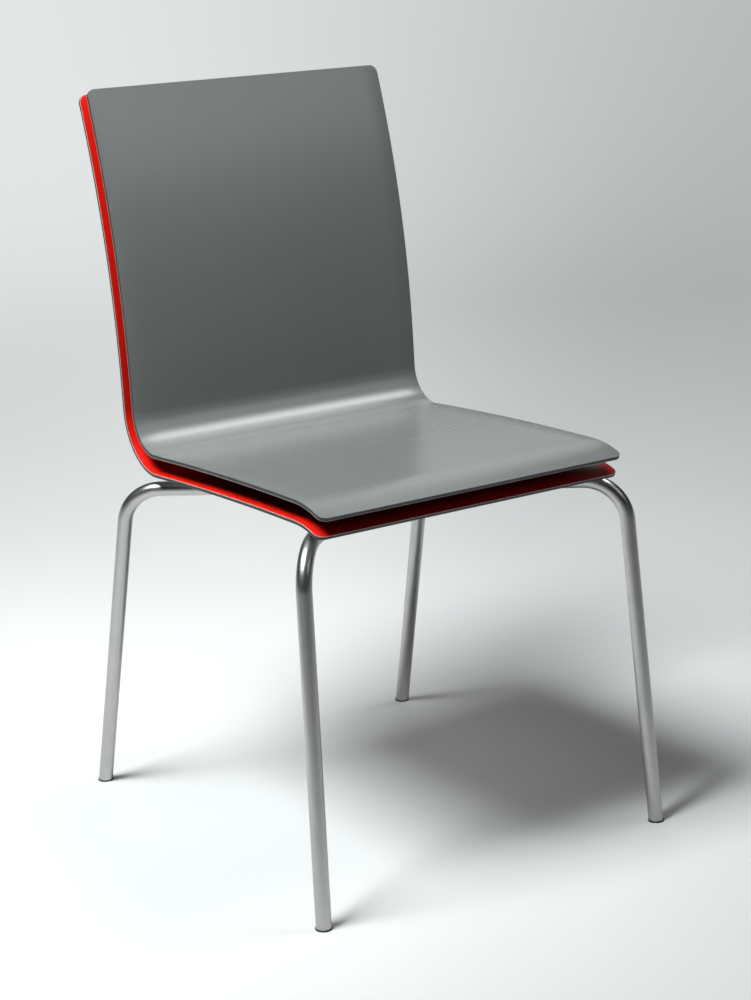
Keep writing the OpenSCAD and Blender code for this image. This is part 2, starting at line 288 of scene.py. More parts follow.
def rounded(centre_radius, centre_height, radius, start, end, steps=5):
    """Points of an arc in an outline, between two angles in degrees."""
    angles = [radians(start + (end - start) * k / steps) for k in range(steps + 1)]
    return [(centre_radius + radius * cos(a), centre_height + radius * sin(a)) for a in angles]


def joined(name, pieces):
    """One object from several, each already in place."""
    bm = bmesh.new()
    for piece in pieces:
        bm.from_mesh(piece.data)
    discard(*pieces)
    return object_from_bmesh(name, bm)


# ---- Geometry trees ----


def add_node(tree, kind, inputs, settings):
    """Adds a node, with settings as its properties and inputs by name or number."""
    node = tree.nodes.new(kind)
    for key, value in settings.items():
        setattr(node, key, value)
    for key, value in (inputs or {}).items():
        if isinstance(value, bpy.types.NodeSocket):
            tree.links.new(value, node.inputs[key])
        else:
            node.inputs[key].default_value = value
    return node


class Tree:
    """A geometry node tree with named inputs for its sizes."""

    def __init__(self, name, **inputs):
        self.group = bpy.data.node_groups.new(name, "GeometryNodeTree")
        self.group.is_modifier = True
        self.new_socket("Geometry", "INPUT", "NodeSocketGeometry")
        for label, kind in inputs.items():
            self.new_socket(label, "INPUT", "NodeSocket" + kind)
        self.new_socket("Geometry", "OUTPUT", "NodeSocketGeometry")
        self.given = self.group.nodes.new("NodeGroupInput").outputs
        self.result = self.group.nodes.new("NodeGroupOutput").inputs[0]

    def __getitem__(self, label):
        return self.given[label]

    def new_socket(self, label, direction, kind):
        self.group.interface.new_socket(label, in_out=direction, socket_type=kind)

    def shape(self, kind, inputs=None, **settings):
        return add_node(self.group, "GeometryNode" + kind, inputs, settings).outputs

    def shader(self, kind, inputs=None, **settings):
        return add_node(self.group, "ShaderNode" + kind, inputs, settings).outputs

    def rotation(self, **axes):
        angles = {0: self.vector(**axes)}
        return add_node(self.group, "FunctionNodeEulerToRotation", angles, {}).outputs[0]

    def maths(self, operation, *values):
        return self.shader("Math", dict(enumerate(values)), operation=operation)[0]

    def vector_maths(self, operation, *values):
        return self.shader("VectorMath", dict(enumerate(values)), operation=operation)

    def vector(self, x=0.0, y=0.0, z=0.0):
        return self.shader("CombineXYZ", {0: x, 1: y, 2: z})[0]

    def difference(self, first, second, **inputs):
        inputs.update({"Mesh 1": first, "Mesh 2": second})
        settings = {"operation": "DIFFERENCE", "solver": "EXACT"}
        return self.shape("MeshBoolean", inputs, **settings)[0]

    def dress(self, geometry, finish, **selection):
        inputs = {"Geometry": geometry, "Material": finish, **selection}
        return self.shape("SetMaterial", inputs)[0]

    def finish(self, geometry, finish):
        """Ends the tree: real geometry, in its finish."""
        whole = self.shape("RealizeInstances", {0: geometry})[0]
        self.group.links.new(self.dress(whole, finish), self.result)

    def run(self, piece, **values):
        """Runs the tree on a piece and leaves its result there as plain mesh."""
        modifier = piece.modifiers.new("shape", "NODES")
        modifier.node_group = self.group
        for item in self.group.interface.items_tree:
            if item.in_out == "INPUT" and item.name in values:
                modifier[item.identifier] = values[item.name]
        return settled(piece)


def bent_sheet_tree(drilled):
    """Bends a flat sheet along the profile, with its holes cut after the bend."""
    tree = Tree("bent_sheet", Profile="Object", Drill="Object", Edge="Material", Face="Material")
    profile = tree.shape("ObjectInfo", {0: tree["Profile"]})["Geometry"]
    curve = tree.shape("MeshToCurve", {0: profile})[0]
    flat = tree.shader("SeparateXYZ", {0: tree.shape("InputPosition")[0]})
    sample = {"Curves": curve, "Length": flat["Y"]}
    along = tree.shape("SampleCurve", sample, mode="LENGTH")
    outward = tree.vector_maths("CROSS_PRODUCT", (1, 0, 0), along["Tangent"])[0]
    outward = tree.vector_maths("NORMALIZE", outward)[0]
    lift = {0: outward, "Scale": flat["Z"]}
    lifted = tree.shader("VectorMath", lift, operation="SCALE")[0]
    across = tree.vector(x=flat["X"])
    place = tree.vector_maths("ADD", along["Position"], lifted)[0]
    place = tree.vector_maths("ADD", place, across)[0]
    moved = {"Geometry": tree["Geometry"], "Position": place}
    bent = tree.shape("SetPosition", moved)[0]
    if drilled:
        drill = tree.shape("ObjectInfo", {0: tree["Drill"]})["Geometry"]
        bent = tree.difference(bent, drill)
    rim = tree.shape("InputNamedAttribute", {"Name": "rim"}, data_type="BOOLEAN")[0]
    whole = tree.shape("RealizeInstances", {0: bent})[0]
    faced = tree.dress(whole, tree["Face"])
    tree.group.links.new(tree.dress(faced, tree["Edge"], Selection=rim), tree.result)
    return tree


def tube_tree():
    """Sweeps a tube along its path of straight lines, with each corner bent round."""
    sizes = {"Radius": "Float", "Wall": "Float", "Bend": "Float"}
    tree = Tree("leg_tube", Cutters="Object", Finish="Material", **sizes)
    path = tree.shape("MeshToCurve", {0: tree["Geometry"]})[0]
    bend = {"Curve": path, "Count": 40, "Radius": tree["Bend"]}
    path = tree.shape("FilletCurve", bend, mode="POLY")[0]
    bore = tree.maths("SUBTRACT", tree["Radius"], tree["Wall"])
    bodies = []
    for radius in (tree["Radius"], bore):
        circle = {"Resolution": 72, "Radius": radius}
        ring = tree.shape("CurvePrimitiveCircle", circle)[0]
        sweep = {"Curve": path, "Profile Curve": ring, "Fill Caps": True}
        bodies.append(tree.shape("CurveToMesh", sweep)[0])
    cutters = tree.shape("ObjectInfo", {0: tree["Cutters"]})["Geometry"]
    waste = tree.shape("JoinGeometry", {0: bodies[1]})
    tree.group.links.new(cutters, waste[0].node.inputs[0])
    hollow = tree.difference(bodies[0], waste[0], **{"Self Intersection": True})
    tree.finish(hollow, tree["Finish"])
    return tree


def bead_tree():
    """Lays a rippled bead of weld along its path."""
    tree = Tree("weld_bead", Radius="Float", Ripples="Float", Depth="Float", Finish="Material")
    path = tree.shape("MeshToCurve", {0: tree["Geometry"]})[0]
    factor = tree.shape("SplineParameter")["Factor"]
    turn = tree.maths("MULTIPLY", factor, tree.maths("MULTIPLY", tree["Ripples"], 2 * pi))
    ripple = tree.maths("MULTIPLY", tree.maths("SINE", turn), tree["Depth"])
    size = tree.maths("ADD", ripple, 1.0)
    path = tree.shape("SetCurveRadius", {"Curve": path, "Radius": size})[0]
    circle = {"Resolution": 16, "Radius": tree["Radius"]}
    ring = tree.shape("CurvePrimitiveCircle", circle)[0]
    sweep = {"Curve": path, "Profile Curve": ring, "Scale": size}
    bead = tree.shape("CurveToMesh", sweep)[0]
    tree.finish(bead, tree["Finish"])
    return tree


def pattern_tree():
    """Sets copies of one fastener at the corners of a rectangle in a tilted plane."""
    counts = {"Across": "Int", "Along": "Int"}
    sizes = {"Width": "Float", "Depth": "Float", "Outward": "Float", "Tilt": "Float"}
    tree = Tree("fastener_pattern", Centre="Vector", Finish="Material", **counts, **sizes)
    grid = {"Size X": tree["Width"], "Size Y": tree["Depth"]}
    grid.update({"Vertices X": tree["Across"], "Vertices Y": tree["Along"]})
    points = tree.shape("MeshGrid", grid)[0]
    at = tree.shader("SeparateXYZ", {0: tree.shape("InputPosition")[0]})
    heading = tree.maths("ARCTAN2", at["Y"], at["X"])
    heading = tree.maths("MULTIPLY", heading, tree["Outward"])
    facing = tree.rotation(z=heading)
    instances = {"Points": points, "Instance": tree["Geometry"], "Rotation": facing}
    copies = tree.shape("InstanceOnPoints", instances)[0]
    tilt = tree.rotation(x=tree["Tilt"])
    plane = {"Geometry": copies, "Translation": tree["Centre"], "Rotation": tilt}
    placed = tree.shape("Transform", plane)[0]
    tree.finish(placed, tree["Finish"])
    return tree


# ---- Finishes ----


class Finish:
    """A material: constants go straight on the shader, detail comes from nodes."""

    def __init__(self, name, **sockets):
        self.material = bpy.data.materials.new(name)
        self.material.use_nodes = True
        self.tree = self.material.node_tree
        self.shader = self.tree.nodes["Principled BSDF"]
        for label, value in sockets.items():
            self.shader.inputs[label.replace("_", " ")].default_value = value

    def node(self, kind, inputs=None, **settings):
        return add_node(self.tree, "ShaderNode" + kind, inputs, settings)

    def where(self, scale=(1, 1, 1), uv=None):
        """Object coordinates, or those of a UV map, stretched by scale."""
        if uv:
            source = self.node("UVMap", uv_map=uv).outputs["UV"]
        else:
            source = self.node("TexCoord").outputs["Object"]
        return self.node("Mapping", {"Vector": source, "Scale": scale}).outputs[0]

    def noise(self, where, scale, detail=2.0, roughness=0.5, distortion=0.0):
        inputs = {"Vector": where, "Scale": scale, "Detail": detail}
        inputs.update({"Roughness": roughness, "Distortion": distortion})
        return self.node("TexNoise", inputs).outputs["Fac"]

    def streaks(self, scale, uv=None, **settings):
        """Noise stretched along the axes where scale is small."""
        return self.noise(self.where(scale, uv), 1, **settings)

    def cells(self, where, scale):
        inputs = {"Vector": where, "Scale": scale}
        return self.node("TexVoronoi", inputs).outputs["Distance"]

    def remap(self, value, low, high, to_low, to_high):
        inputs = {"Value": value, "From Min": low, "From Max": high}
        inputs.update({"To Min": to_low, "To Max": to_high})
        return self.node("MapRange", inputs).outputs[0]

    def maths(self, operation, *values):
        return self.node("Math", dict(enumerate(values)), operation=operation).outputs[0]

    def measure(self, operation, *values):
        """A vector operation that gives one number."""
        inputs = dict(enumerate(values))
        return self.node("VectorMath", inputs, operation=operation).outputs["Value"]

    def mix(self, factor, first, second):
        inputs = {"Factor": factor, 6: first, 7: second}
        return self.node("Mix", inputs, data_type="RGBA").outputs[2]

    def bump(self, height, distance, strength=1.0, under=None):
        inputs = {"Height": height, "Distance": distance, "Strength": strength}
        if under:
            inputs["Normal"] = under
        return self.node("Bump", inputs).outputs[0]

    def set(self, **sockets):
        for label, value in sockets.items():
            self.tree.links.new(value, self.shader.inputs[label.replace("_", " ")])
        return self.material


def grey(value, warm=0.0):
    return (value * (1 + warm), value, value * (1 - warm), 1)


def tinted(colour, factor):
    return tuple(c * factor for c in colour[:3]) + (1,)


def laminate(name, colour, roughness):
    """Satin decorative laminate: pearl grain, faint clouds, smears and fine scratches."""
    finish = Finish(name, IOR=1.6)
    sheet = finish.where(uv="sheet")
    pearl = finish.noise(sheet, 2200, detail=3, roughness=0.6)
    cloud = finish.noise(sheet, 7, detail=3)
    smears = finish.streaks((9, 7, 1), "sheet", detail=3, distortion=0.3)
    scratches = finish.streaks((900, 14, 1), "sheet", detail=2)
    scratched = finish.remap(scratches, 0.72, 0.78, 0, 1)
    tone = finish.maths("ADD", finish.maths("MULTIPLY", pearl, 0.25), cloud)
    tone = finish.remap(tone, 0.3, 0.95, 0, 1)
    base = finish.mix(tone, tinted(colour, 0.975), tinted(colour, 1.025))
    base = finish.mix(finish.maths("MULTIPLY", scratched, 0.02), base, grey(0.6))
    gloss = finish.remap(smears, 0.3, 0.7, roughness - 0.008, roughness + 0.010)
    gloss = finish.maths("ADD", gloss, finish.maths("MULTIPLY", scratched, 0.02))
    grain = finish.bump(pearl, 0.00001, 0.35)
    return finish.set(Base_Color=base, Roughness=gloss, Normal=grain)


def laminate_edge(name, colour, roughness):
    """Sawn and sanded laminate edge: its fine paper layers, with rubbed spots."""
    finish = Finish(name, IOR=1.5)
    layers = finish.streaks((30, 9000, 1), "sheet", detail=2)
    rubbed = finish.streaks((60, 300, 1), "sheet", detail=4)
    rubbed = finish.remap(rubbed, 0.58, 0.72, 0, 1)
    base = finish.mix(layers, tinted(colour, 0.8), tinted(colour, 1.25))
    base = finish.mix(finish.maths("MULTIPLY", rubbed, 0.12), base, grey(0.35))
    gloss = finish.remap(layers, 0.3, 0.7, roughness - 0.06, roughness + 0.06)
    lines = finish.bump(layers, 0.00002, 0.5)
    return finish.set(Base_Color=base, Roughness=gloss, Normal=lines)


def satin_tube():
    """Satin polished steel: grain along the tube, soft handling marks, and scuffs, rust
    specks and floor dirt that grow towards the foot."""
    finish = Finish("satin_steel_tube", Metallic=1.0)
    steel = grey(0.46, 0.012)
    grain = finish.streaks((40, 5200, 1), "tube", detail=3, roughness=0.6)
    marks = finish.noise(finish.where(), 46, detail=4, distortion=0.4)
    specks = finish.cells(finish.where((520, 900, 1), uv="tube"), 1)
    height = finish.node("SeparateXYZ", {0: finish.where()}).outputs["Z"]
    low = finish.remap(height, 0.02, 0.34, 1, 0)
    patches = finish.remap(finish.noise(finish.where(), 30, detail=3), 0.42, 0.62, 0, 1)
    specked = finish.remap(specks, 0.05, 0.16, 1, 0)
    specked = finish.maths("MULTIPLY", finish.maths("MULTIPLY", specked, patches), low)
    scuffs = finish.streaks((700, 160, 1), "tube", detail=3, distortion=1.2)
    scuffed = finish.maths("MULTIPLY", finish.remap(scuffs, 0.60, 0.68, 0, 1), low)
    base = finish.mix(grain, tinted(steel, 0.95), tinted(steel, 1.04))
    base = finish.mix(finish.maths("MULTIPLY", specked, 0.55), base, (0.12, 0.10, 0.085, 1))
    base = finish.mix(finish.maths("MULTIPLY", scuffed, 0.25), base, grey(0.30))
    gloss = finish.remap(marks, 0.3, 0.7, 0.28, 0.35)
    gloss = finish.maths("ADD", gloss, finish.maths("MULTIPLY", scuffed, 0.16))
    gloss = finish.maths("ADD", gloss, finish.maths("MULTIPLY", low, 0.05))
    relief = finish.bump(grain, 0.000012, 0.5)
    relief = finish.bump(specked, 0.00006, 0.6, under=relief)
    return finish.set(Base_Color=base, Roughness=gloss, Normal=relief)


def hub_steel(name, tone, roughness):
    """Machined or drawn steel, with a soft swirl of tool marks."""
    finish = Finish(name, Metallic=1.0)
    place = finish.where()
    marks = finish.streaks((500, 500, 4200), detail=2)
    stains = finish.noise(place, 90, detail=4)
    base = finish.mix(stains, grey(tone * 0.88), grey(tone * 1.08, 0.02))
    gloss = finish.remap(marks, 0.3, 0.7, roughness - 0.05, roughness + 0.07)
    return finish.set(Base_Color=base, Roughness=gloss, Normal=finish.bump(marks, 0.00002, 0.5))


def weld_metal():
    """Weld bead: silver crests with straw and blue heat colours in the hollows."""
    finish = Finish("weld_metal", Metallic=1.0)
    heat = finish.noise(finish.where(), 260, detail=3)
    straw = finish.mix(finish.remap(heat, 0.35, 0.6, 0, 1), grey(0.55), (0.55, 0.42, 0.24, 1))
    base = finish.mix(finish.remap(heat, 0.58, 0.75, 0, 0.7), straw, (0.22, 0.24, 0.36, 1))
    gloss = finish.remap(heat, 0.3, 0.7, 0.28, 0.42)
    return finish.set(Base_Color=base, Roughness=gloss, Normal=finish.bump(heat, 0.00006, 0.4))


def moulded(name, tone, roughness, wear):
    """Black moulded plastic: spark-eroded grain, with paler rubbed patches."""
    finish = Finish(name, IOR=1.49)
    place = finish.where()
    grain = finish.noise(place, 2600, detail=2, roughness=0.6)
    rubs = finish.noise(finish.where((1, 1, 0.4)), 260, detail=4)
    rubbed = finish.maths("MULTIPLY", finish.remap(rubs, 0.54, 0.7, 0, 1), wear)
    base = finish.mix(rubbed, grey(tone), grey(0.16, 0.03))
    gloss = finish.remap(grain, 0.3, 0.7, roughness - 0.05, roughness + 0.06)
    gloss = finish.maths("ADD", gloss, finish.maths("MULTIPLY", rubbed, 0.2))
    return finish.set(Base_Color=base, Roughness=gloss, Normal=finish.bump(grain, 0.00003, 0.5))


def plated(name, colour, roughness):
    """Plated or turned small metal: cloudy tone and faint tool marks."""
    finish = Finish(name, Metallic=1.0)
    cloud = finish.noise(finish.where(), 420, detail=3)
    marks = finish.streaks((900, 900, 5000), detail=2)
    base = finish.mix(cloud, tinted(colour, 0.85), tinted(colour, 1.1))
    gloss = finish.remap(marks, 0.3, 0.7, roughness - 0.05, roughness + 0.08)
    return finish.set(Base_Color=base, Roughness=gloss, Normal=finish.bump(marks, 0.00001, 0.5))


GREY_LAMINATE = (0.130, 0.134, 0.133, 1)
RED_LAMINATE = (0.57, 0.007, 0.003, 1)

grey_face = laminate("grey_laminate", GREY_LAMINATE, 0.26)
red_face = laminate("red_laminate", RED_LAMINATE, 0.30)
# Black for the front shell's underside: painted shade, a dark sheet that keeps the gap between the
# shells dark
gap_shade_black_face = laminate("black_laminate", grey(0.014), 0.34)
black_edge = laminate_edge("black_core", grey(0.012), 0.42)
pale_edge = laminate_edge("red_lining_edge", (0.34, 0.27, 0.23, 1), 0.5)
grey_edge = laminate_edge("black_lining_edge", grey(0.24), 0.5)
tube_steel = satin_tube()
drawn_steel = hub_steel("hub_steel", 0.58, 0.32)
weld_steel = weld_metal()
cap_plastic = moulded("cap_plastic", 0.012, 0.45, 0.6)
black_nylon = moulded("black_nylon", 0.016, 0.5, 0.15)
brass = plated("insert_brass", (0.78, 0.56, 0.24, 1), 0.3)
zinc = plated("zinc_steel", (0.62, 0.63, 0.62, 1), 0.28)

# ---- Shells ----

CORNER_STEPS = 10
EASE_STEPS = 3

# Columns of the mesh, with narrow ones round the screw holes
HALF_COLUMNS = [0, 0.028, 0.056, 0.082, 0.098, 0.1085, 0.122, 0.1315, 0.150, 0.174]


def sheet_columns():
    """Places of the columns across a sheet, as shares of its half width."""
    right = [x / (SHELL_WIDTH / 2) for x in HALF_COLUMNS] + [1]
    return [-x for x in reversed(right[1:])] + right


def middle_rows():
    """Distances along the profile of the rows between the rounded corners."""
    rows = []
    start = 0
    for length, turn, count in PROFILE:
        rows += [start + length * k / count for k in range(count)]
        start += length
    first = CORNER_RADIUS
    last = PROFILE_LENGTH - CORNER_RADIUS
    return [s for s in rows if first + ARRIS < s < last - ARRIS]


def sheet_grid(inset):
    """Rows of (x, distance) over a sheet whose outline is drawn in by inset."""
    radius = CORNER_RADIUS - inset
    turns = [pi / 2 * k / CORNER_STEPS for k in range(CORNER_STEPS + 1)]
    width = SHELL_WIDTH / 2 - CORNER_RADIUS
    corner = [(CORNER_RADIUS - radius * cos(t), width + radius * sin(t)) for t in turns]
    rows = list(corner)
    rows += [(s, SHELL_WIDTH / 2 - inset) for s in middle_rows()]
    rows += [(PROFILE_LENGTH - s, w) for s, w in reversed(corner)]
    return [[(w * c, s) for c in sheet_columns()] for s, w in rows]


def sheet_levels(top, bottom, ease_top, ease_bottom):
    """(height, inset) of each ring round a sheet, from its sitting side to its back."""
    turns = [pi / 2 * k / EASE_STEPS for k in range(EASE_STEPS + 1)]
    upper = [(-top - ease_top * (1 - cos(t)), ease_top * (1 - sin(t))) for t in turns]
    lower = [(-bottom + ease_bottom * (1 - cos(t)), ease_bottom * (1 - sin(t))) for t in turns]
    upper = upper if ease_top else upper[:1]
    lower = lower if ease_bottom else lower[:1]
    return upper + list(reversed(lower))


def outline_of(grid):
    """The points round a grid, in order."""
    right = [row[-1] for row in grid[1:-1]]
    left = [row[0] for row in reversed(grid[1:-1])]
    return list(grid[0]) + right + list(reversed(grid[-1])) + left


def flat_sheet(name, top, bottom, ease_top=0.0, ease_bottom=0.0):
    """A flat ply: X across, Y the distance along the profile, Z above the sitting side."""
    bm = bmesh.new()
    uv = bm.loops.layers.uv.new("sheet")
    levels = sheet_levels(top, bottom, ease_top, ease_bottom)
    rings = []
    faces = []
    for number, (height, inset) in enumerate(levels):
        grid = sheet_grid(inset)
        if number in (0, len(levels) - 1):
            grid = [[bm.verts.new((x, s, height)) for x, s in row] for row in grid]
            ring = outline_of(grid)
            for row, after in zip(grid, grid[1:]):
                for k in range(len(row) - 1):
                    corners = [row[k], row[k + 1], after[k + 1], after[k]]
                    faces.append(bm.faces.new(corners if number == 0 else corners[::-1]))
        else:
            ring = [bm.verts.new((x, s, height)) for x, s in outline_of(grid)]
        rings.append(ring)
    for face in faces:
        for loop in face.loops:
            loop[uv].uv = loop.vert.co.xy
    rims = []
    for upper, lower in zip(rings, rings[1:]):
        for k in range(len(upper)):
            after = (k + 1) % len(upper)
            rims.append(bm.faces.new([upper[k], lower[k], lower[after], upper[after]]))
    for face in rims:
        for loop in face.loops:
            loop[uv].uv = (loop.vert.co.x + loop.vert.co.y, loop.vert.co.z)
    flat_count = len(faces)
    total = len(bm.faces)
    sheet = object_from_bmesh(name, bm)
    rim = sheet.data.attributes.new("rim", "BOOLEAN", "FACE")
    rim.data.foreach_set("value", [k >= flat_count for k in range(total)])
    return sheet


def profile_line():
    """The sitting surface's profile as a line of short edges."""
    steps = 1200
    places = [profile_at(PROFILE_LENGTH * k / steps) for k in range(steps + 1)]
    return line_object("profile", [(0, y, z) for y, z, direction in places])


def rod(radius, low, high, matrix, segments=48):
    outline = [(0, low), (radius, low), (radius, high), (0, high)]
    return turned("rod", outline, segments, matrix)


def shell_drill():
    """Rods through the rear shell at each screw."""
    deep = REAR_BOTTOM + TUBE_RADIUS + SADDLE_HEIGHT
    rods = [rod(SEAT_HOLE, 0, deep, fixing_matrix(*c)) for c in CORNERS]
    for side in (LEFT, RIGHT):
        matrix = back_fixing_matrix(side)
        rods.append(rod(BACK_HOLE, -OVERRUN, SHELL_THICKNESS + OVERRUN, matrix))
    return joined("drill", rods)


profile = profile_line()
drill = shell_drill()
plain_sheet = bent_sheet_tree(drilled=False)
drilled_sheet = bent_sheet_tree(drilled=True)


def ply(name, top, thickness, face, edge, drilled, ease_top=0.0, ease_bottom=0.0):
    sheet = flat_sheet(name, top, top + thickness, ease_top, ease_bottom)
    tree = drilled_sheet if drilled else plain_sheet
    return tree.run(sheet, Profile=profile, Drill=drill, Edge=edge, Face=face)


def stands_for(piece, slot, *nodes):
    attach(piece, "root")
    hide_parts(*nodes)


def make_shells():
    core_top = FACE_PLY
    lining_top = FACE_PLY + CORE_PLY
    rear_core_top = REAR_TOP + LINING_PLY
    rear_face_top = rear_core_top + CORE_PLY
    plies = [
        ("front_shell_face", 0, FACE_PLY, grey_face, black_edge, False, ARRIS, 0),
        ("front_shell_core", core_top, CORE_PLY, black_edge, black_edge, False, 0, 0),
        # The front shell's lining is black as painted shade for the gap between the shells
        ("front_shell_lining", lining_top, LINING_PLY, gap_shade_black_face, grey_edge, False, 0, ARRIS),
        ("rear_shell_lining", REAR_TOP, LINING_PLY, red_face, pale_edge, True, ARRIS, 0),
        ("rear_shell_core", rear_core_top, CORE_PLY, black_edge, black_edge, True, 0, 0),
        ("rear_shell_face", rear_face_top, FACE_PLY, grey_face, black_edge, True, 0, ARRIS),
    ]
    slots = {
        grey_face: "grey_laminate",
        black_edge: "black_core",
        gap_shade_black_face: "black_laminate",
        red_face: "red_laminate",
    }
    for node, top, thickness, face, edge, drilled, ease_top, ease_bottom in plies:
        piece = ply(node + "_sheet", top, thickness, face, edge, drilled, ease_top, ease_bottom)
        stands_for(piece, slots[face], node)


make_shells()

# ---- Tube frame ----

# What lies below the foot caps' tops is trimmed off the tubes
FLOOR_CUT = 0.06
FLOOR_CUT_RADIUS = 0.6


def frame_cutters():
    """What trims the tubes: the hub's outside, the floor and the screw holes."""
    hub = rod(HUB_RADIUS, -2 * TUBE_RADIUS, 2 * TUBE_RADIUS, FRAME_MATRIX, 96)
    below = Matrix.Translation((0, 0, CAP_FLANGE - FLOOR_CUT))
    floor = rod(FLOOR_CUT_RADIUS, 0, FLOOR_CUT, below)
    deep = 2 * TUBE_RADIUS
    holes = [rod(SEAT_HOLE, -deep, deep, fixing_matrix(*c)) for c in CORNERS]
    return joined("cutters", [hub, floor] + holes)


def bend_centre(side, end):
    """(start, end) of a tube's bend and the centre it turns about."""
    bend = corner_point(side, end)
    inward = (FRAME_CENTRE - bend).normalized()
    down = (foot_point(side, end) - bend).normalized()
    half = (pi - acos(inward.dot(down))) / 2
    lead = TUBE_BEND * sin(half) / cos(half)
    centre = bend + (inward + down).normalized() * TUBE_BEND / cos(half)
    return bend + inward * lead, bend + down * lead, centre


def tube_place(point, side, end):
    """(distance along the tube's centre line, direction there, centre there) for a point."""
    start, finish, centre = bend_centre(side, end)
    run = (start - FRAME_CENTRE).normalized()
    leg = (foot_point(side, end) - finish).normalized()
    run_length = (start - FRAME_CENTRE).length
    if (point - start).dot(run) <= 0:
        distance = (point - FRAME_CENTRE).dot(run)
        return distance, run, FRAME_CENTRE + run * distance
    if (point - finish).dot(leg) >= 0:
        distance = (point - finish).dot(leg)
        turn = TUBE_BEND * run.angle(leg)
        return run_length + turn + distance, leg, finish + leg * distance
    radial = point - centre
    axis = run.cross(leg).normalized()
    radial = radial - axis * radial.dot(axis)
    angle = (start - centre).angle(radial)
    on_line = centre + radial.normalized() * TUBE_BEND
    return run_length + TUBE_BEND * angle, axis.cross(radial).normalized(), on_line


def wrap_tube(piece, side, end):
    """Gives a tube a UV map: distance along it, and distance round it."""
    mesh = piece.data
    start, finish, centre = bend_centre(side, end)
    axis = (start - centre).cross(finish - centre).normalized()
    places = []
    for vert in mesh.vertices:
        distance, direction, on_line = tube_place(vert.co, side, end)
        spoke = vert.co - on_line
        sideways = direction.cross(axis)
        places.append((distance, atan2(spoke.dot(axis), spoke.dot(sideways))))
    uv = mesh.uv_layers.new(name="tube")
    for face in mesh.polygons:
        angles = [places[mesh.loops[k].vertex_index][1] for k in face.loop_indices]
        wraps = max(angles) - min(angles) > pi
        for k, angle in zip(face.loop_indices, angles):
            turn = angle + 2 * pi if wraps and angle < 0 else angle
            uv.data[k].uv = (places[mesh.loops[k].vertex_index][0], turn * TUBE_RADIUS)


def tube_path(side, end):
    """The tube's centre line, run on past the hub's wall and the floor to be trimmed."""
    bend = corner_point(side, end)
    foot = foot_point(side, end)
    beyond = foot + (foot - bend).normalized() * TUBE_RADIUS * 2
    return line_object(corner_name(side, end, "tube"), (FRAME_CENTRE, bend, beyond))


def make_tubes():
    cutters = frame_cutters()
    tree = tube_tree()
    for side, end in CORNERS:
        sizes = {"Radius": TUBE_RADIUS, "Wall": TUBE_WALL, "Bend": TUBE_BEND}
        tube = tree.run(tube_path(side, end), Cutters=cutters, Finish=tube_steel, **sizes)
        wrap_tube(tube, side, end)
        stands_for(tube, "satin_steel", corner_name(side, end, "leg_tube"))
    discard(cutters)


def make_hub():
    """A short thick ring with eased rims."""
    chamfer = 0.0005
    half = HUB_HEIGHT / 2
    inner = HUB_RADIUS - HUB_WALL
    outline = [
        (inner + chamfer, -half),
        (HUB_RADIUS - chamfer, -half),
        (HUB_RADIUS, -half + chamfer),
        (HUB_RADIUS, half - chamfer),
        (HUB_RADIUS - chamfer, half),
        (inner + chamfer, half),
        (inner, half - chamfer),
        (inner, -half + chamfer),
    ]
    hub = turned("hub_ring", outline, 96, FRAME_MATRIX)
    hub.data.materials.append(drawn_steel)
    stands_for(settled(hub), "satin_steel", "centre_hub")


def make_welds():
    """A rippled bead round each tube, where it meets the hub."""
    bead = 0.0011
    reach = TUBE_RADIUS + 0.0003
    lift = 0.0002
    ripples = 22.0
    ripple_depth = 0.14
    steps = 120
    bm = bmesh.new()
    for side, end in CORNERS:
        matrix = run_matrix(side, end)
        verts = []
        for k in range(steps):
            turn = 2 * pi * k / steps
            level = reach * sin(turn)
            wall = sqrt(HUB_RADIUS**2 - level**2)
            verts.append(bm.verts.new(matrix @ Vector((reach * cos(turn), level, wall + lift))))
        for k in range(steps):
            bm.edges.new((verts[k], verts[(k + 1) % steps]))
    path = object_from_bmesh("hub_weld_beads", bm)
    sizes = {"Radius": bead, "Ripples": ripples, "Depth": ripple_depth}
    welds = bead_tree().run(path, Finish=weld_steel, **sizes)
    stands_for(welds, "satin_steel", "hub_welds")


def make_foot_caps():
    """Thin round-edged flange under each tube, with a ribbed spigot up inside it."""
    edge = 0.0007
    flange = TUBE_RADIUS + CAP_RIM
    slack = 0.0001
    bore = TUBE_RADIUS - TUBE_WALL - slack
    rib = 0.0005
    flange_outline = [(0, 0)] + rounded(flange - edge, edge, edge, -90, 0)
    flange_outline += rounded(flange - edge / 2, CAP_FLANGE - edge / 2, edge / 2, 0, 90)
    flange_outline += [(0, CAP_FLANGE)]
    # The spigot leans with the tube, so its base starts well above the floor
    spigot_base = CAP_FLANGE * 0.85
    core = bore - rib
    spigot_outline = [(0, spigot_base), (core, spigot_base)]
    rib_count = 5
    pitch = CAP_SPIGOT / (rib_count + 1)
    for k in range(rib_count):
        base = pitch * (k + 0.7)
        spigot_outline += [(core, base), (bore, base + rib), (core, base + pitch * 0.6)]
    spigot_outline += [(bore - 2 * rib, CAP_SPIGOT), (0, CAP_SPIGOT)]
    for side, end in CORNERS:
        foot = foot_point(side, end)
        upward = (corner_point(side, end) - foot).normalized()
        lean = Matrix.Translation(foot) @ upward.to_track_quat("Z", "Y").to_matrix().to_4x4()
        name = corner_name(side, end, "cap")
        cap = turned(name, flange_outline, 64, Matrix.Translation(foot))
        spigot = turned("spigot", spigot_outline, 48, lean)
        cut(cap, spigot, "UNION")
        cap.data.materials.append(cap_plastic)
        settled(cap)
        discard(spigot)
        stands_for(cap, "cap_plastic", corner_name(side, end, "foot_cap"))


make_tubes()
make_hub()
make_welds()
make_foot_caps()

# ---- Pads and bosses between the pieces ----


def block(name, top, bottom):
    """A solid block between two depths below the sitting side, bent as the shells are."""
    return ply(name, top, bottom - top, black_nylon, black_nylon, False)


